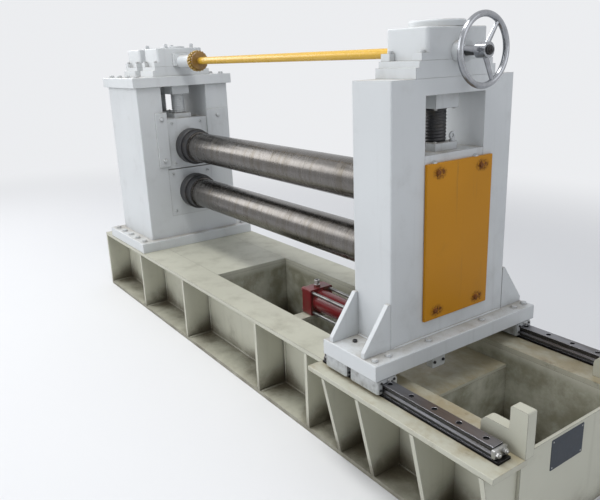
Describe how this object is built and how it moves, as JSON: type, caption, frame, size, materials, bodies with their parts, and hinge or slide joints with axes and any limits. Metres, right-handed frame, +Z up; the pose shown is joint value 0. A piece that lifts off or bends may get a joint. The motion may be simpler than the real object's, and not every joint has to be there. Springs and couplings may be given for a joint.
{
  "type": "coil slitting machine",
  "caption": "Twin-arbor slitting head for sheet coil: fixed stand, sliding outer stand on rails, screw jacks with handwheel, fabricated base.",
  "frame": {"origin": "on the floor under the middle of the base frame", "axes": "+X along the arbors from the fixed drive stand to the sliding stand, +Y across the base along the run of the strip, +Z up"},
  "size_m": [3.5, 0.95, 1.674],
  "materials": {
    "cream_paint": "satin machine enamel, grimed and chipped",
    "yellow_paint": "satin yellow enamel",
    "red_paint": "gloss red enamel",
    "ground_steel": "ground and oiled, with brown scuffs",
    "dark_steel": "blackened, oily",
    "rail_steel": "ground rail steel",
    "chrome_plate": "polished",
    "oiled_plate": "cream paint stained tan by oil"
  },
  "bodies": {
    "base": {"side_webs": "cream_paint", "flange_plates": "cream_paint", "upright_ribs": "cream_paint", "tapered_ribs": "cream_paint", "rail_seats": "cream_paint", "deck_plate": "cream_paint", "cross_plates": "cream_paint", "cross_shelf": "oiled_plate", "end_stops": "cream_paint", "linear_rails": "rail_steel", "cylinder_support": "cream_paint", "cylinder_caps": "red_paint", "cylinder_tube": "red_paint", "fixed_stand_base": "cream_paint", "fixed_stand_frame": "cream_paint", "fixed_stand_cap": "cream_paint", "chock_keepers": "cream_paint", "lower_chock_fixed": "cream_paint", "fixed_jack_plates": "cream_paint", "fixed_gearboxes": "cream_paint", "fixed_screw_caps": "cream_paint"},
    "upper_chock": {"upper_chock_fixed": "cream_paint", "fixed_lift_screws": "dark_steel"},
    "upper_arbor_body": {"upper_arbor": "ground_steel", "upper_collar": "dark_steel"},
    "lower_arbor_body": {"lower_arbor": "ground_steel", "lower_collar": "dark_steel"},
    "sync_shaft_body": {"sync_shaft": "yellow_paint", "link_shaft": "dark_steel"},
    "carriage": {"carriage_plate": "cream_paint", "guide_blocks": "rail_steel", "outer_stand_frame": "cream_paint", "stand_gussets": "cream_paint", "lower_chock_outer": "cream_paint", "outer_screw_nut": "cream_paint", "outer_jack_plate": "cream_paint", "outer_gearbox": "cream_paint", "outer_screw_cap": "cream_paint", "cover_panel": "yellow_paint", "rod_bracket": "cream_paint", "cylinder_rod": "chrome_plate"},
    "outer_chock": {"upper_chock_outer": "cream_paint", "outer_lift_screw": "dark_steel"},
    "handwheel_body": {"handwheel": "chrome_plate", "drive_bar": "dark_steel"}
  },
  "joints": [
    {"name": "carriage_slide", "type": "slide", "parent": "base", "child": "carriage", "axis": [1, 0, 0], "range_m": [0, 0.355]},
    {"name": "upper_arbor_lift", "type": "slide", "parent": "base", "child": "upper_chock", "axis": [0, 0, 1], "range_m": [0, 0.04]},
    {"name": "outer_chock_lift", "type": "slide", "parent": "carriage", "child": "outer_chock", "axis": [0, 0, 1], "range_m": [0, 0.04]},
    {"name": "upper_arbor_spin", "type": "hinge", "parent": "upper_chock", "child": "upper_arbor_body", "pos_m": [0, 0, 1.033], "axis": [1, 0, 0], "continuous": true},
    {"name": "lower_arbor_spin", "type": "hinge", "parent": "base", "child": "lower_arbor_body", "pos_m": [0, 0, 0.746], "axis": [1, 0, 0], "continuous": true},
    {"name": "sync_spin", "type": "hinge", "parent": "base", "child": "sync_shaft_body", "pos_m": [0, 0, 1.549], "axis": [1, 0, 0], "continuous": true},
    {"name": "handwheel_spin", "type": "hinge", "parent": "carriage", "child": "handwheel_body", "pos_m": [1.2, 0, 1.549], "axis": [1, 0, 0], "continuous": true}
  ],
  "couplings": [
    {"joint": "outer_chock_lift", "follows": "upper_arbor_lift", "ratio": 1},
    {"joint": "lower_arbor_spin", "follows": "upper_arbor_spin", "ratio": -1},
    {"joint": "handwheel_spin", "follows": "sync_spin", "ratio": 1}
  ]
}
